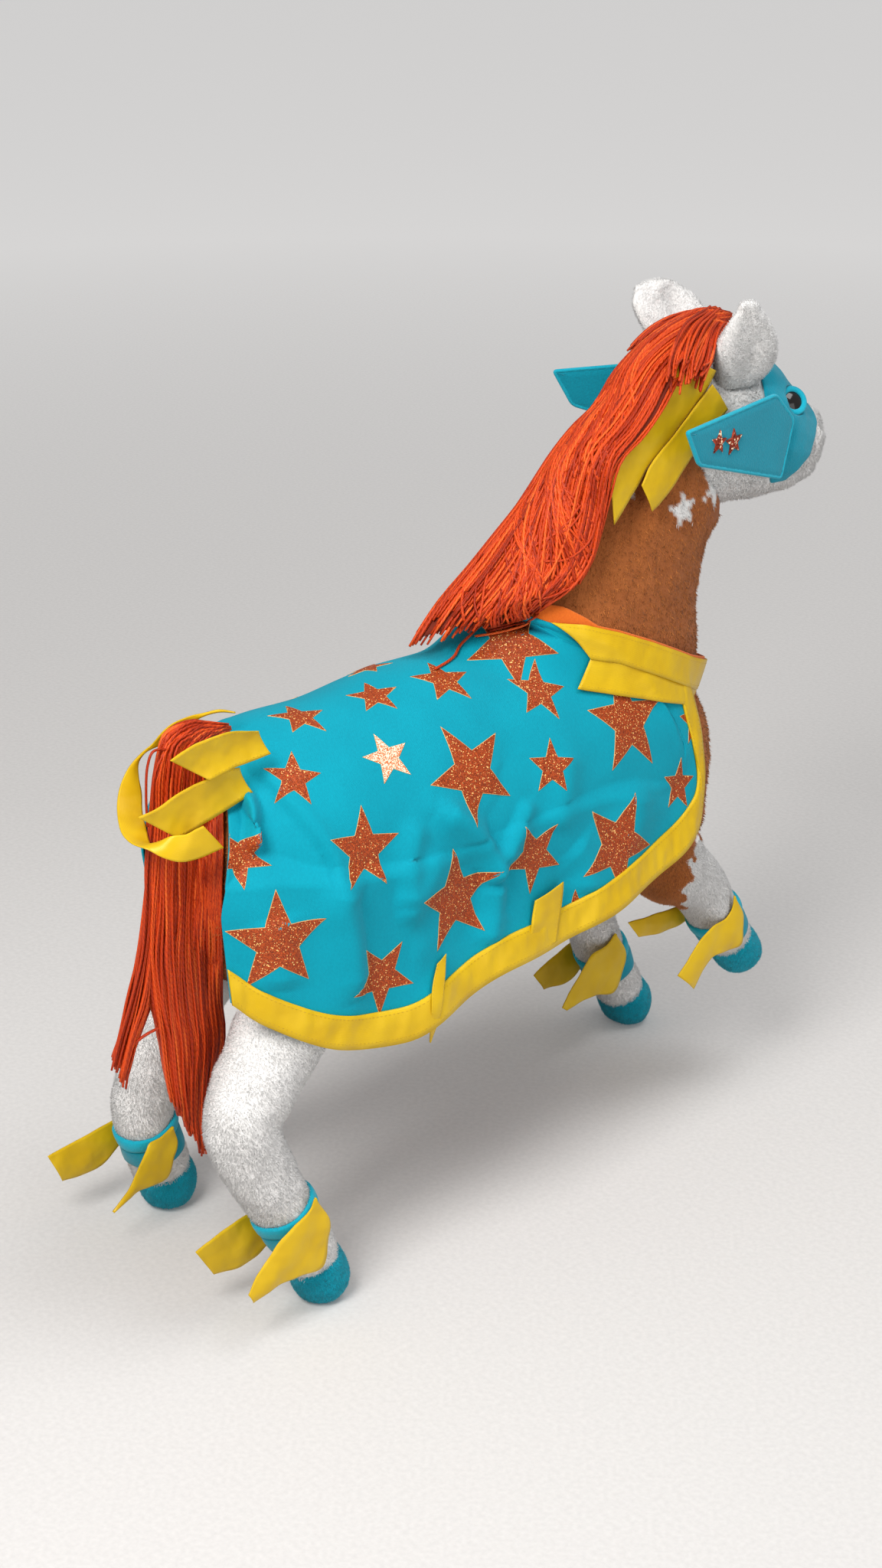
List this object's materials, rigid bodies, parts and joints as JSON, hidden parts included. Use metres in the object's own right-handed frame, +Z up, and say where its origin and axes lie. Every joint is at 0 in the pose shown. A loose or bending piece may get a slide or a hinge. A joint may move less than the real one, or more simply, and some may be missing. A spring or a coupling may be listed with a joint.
{
  "type": "plush horse",
  "caption": "Stuffed toy horse in show dress: starred rug with satin hem, mask with side flaps, yarn mane and tail, ribbons, bendable legs and a head that turns.",
  "frame": {"origin": "on the floor, under the middle of the whole toy", "axes": "+Z up; the horse faces -Y, and its own left is +X"},
  "size_m": [0.195, 0.5608, 0.5486],
  "materials": {
    "brown_plush": "short brown pile that lies along the body",
    "white_plush": "short dense white pile",
    "rug_cloth": "smooth turquoise cloth with printed glitter stars",
    "turquoise_felt": "turquoise felt",
    "hoof_plush": "short turquoise pile",
    "satin": "yellow satin ribbon",
    "yarn": "orange-red twisted yarn",
    "orange_felt": "orange felt",
    "glitter": "orange-red glitter",
    "eye": "glossy black",
    "wire": "plain steel"
  },
  "bodies": {
    "body": {"torso": "brown_plush", "neck": "brown_plush", "spine_wire": "wire", "rug": "rug_cloth", "binding_right": "satin", "binding_left": "satin", "girth_ribbon_rear_right": "satin", "girth_ribbon_front_right": "satin", "girth_ribbon_rear_left": "satin", "girth_ribbon_front_left": "satin", "collar_lining": "orange_felt", "collar_band_upper": "satin", "collar_band_lower": "satin", "mane": "yarn", "mane_ribbon_rear": "satin", "mane_ribbon_front": "satin", "tail_ribbon_upper": "satin", "tail_ribbon_lower": "satin"},
    "head": {"head": "white_plush", "ear_right": "white_plush", "ear_left": "white_plush", "forelock": "yarn", "mask": "turquoise_felt", "eye_right": "eye", "eye_left": "eye"},
    "flap_right": {"flap_right": "turquoise_felt", "star_rear_right": "glitter", "star_front_right": "glitter"},
    "flap_left": {"flap_left": "turquoise_felt", "star_rear_left": "glitter", "star_front_left": "glitter"},
    "tail": {"tail": "yarn", "tail_ribbon_loop": "satin"},
    "leg_hind_right": {"leg_hind_right": "white_plush", "hoof_hind_right": "hoof_plush", "leg_wire_hind_right": "wire", "cuff_hind_right": "turquoise_felt", "ribbon_outer_hind_right": "satin", "ribbon_inner_hind_right": "satin"},
    "leg_hind_left": {"leg_hind_left": "white_plush", "hoof_hind_left": "hoof_plush", "leg_wire_hind_left": "wire", "cuff_hind_left": "turquoise_felt", "ribbon_outer_hind_left": "satin", "ribbon_inner_hind_left": "satin"},
    "leg_front_left": {"leg_front_left": "white_plush", "hoof_front_left": "hoof_plush", "leg_wire_front_left": "wire", "cuff_front_left": "turquoise_felt", "ribbon_outer_front_left": "satin", "ribbon_inner_front_left": "satin"},
    "leg_front_right": {"leg_front_right": "white_plush", "hoof_front_right": "hoof_plush", "leg_wire_front_right": "wire", "cuff_front_right": "turquoise_felt", "ribbon_outer_front_right": "satin", "ribbon_inner_front_right": "satin"}
  },
  "joints": [
    {"name": "head_turn", "type": "hinge", "parent": "body", "child": "head", "pos_m": [0.00101, -0.18053, 0.45], "axis": [0, 0, 1], "range_deg": [-8, 25]},
    {"name": "flap_right_hinge", "type": "hinge", "parent": "head", "child": "flap_right", "pos_m": [-0.0547, -0.22428, 0.4636], "axis": [0, 0, 1], "range_deg": [-4, 25]},
    {"name": "flap_left_hinge", "type": "hinge", "parent": "head", "child": "flap_left", "pos_m": [0.0274, -0.24628, 0.4636], "axis": [0, 0, -1], "range_deg": [-4, 25]},
    {"name": "hip_right", "type": "hinge", "parent": "body", "child": "leg_hind_right", "pos_m": [-0.05031, 0.17939, 0.2219], "axis": [1, 0, 0], "range_deg": [-12, 8]},
    {"name": "hip_left", "type": "hinge", "parent": "body", "child": "leg_hind_left", "pos_m": [0.03627, 0.17367, 0.2219], "axis": [1, 0, 0], "range_deg": [-12, 8]},
    {"name": "shoulder_left", "type": "hinge", "parent": "body", "child": "leg_front_left", "pos_m": [0.04663, -0.11761, 0.2149], "axis": [1, 0, 0], "range_deg": [-12, 12]},
    {"name": "shoulder_right", "type": "hinge", "parent": "body", "child": "leg_front_right", "pos_m": [-0.04513, -0.12553, 0.2121], "axis": [1, 0, 0], "range_deg": [-12, 12]},
    {"name": "tail_lift", "type": "hinge", "parent": "body", "child": "tail", "pos_m": [-0.01125, 0.21447, 0.356], "axis": [1, 0, 0], "range_deg": [0, 50]}
  ]
}
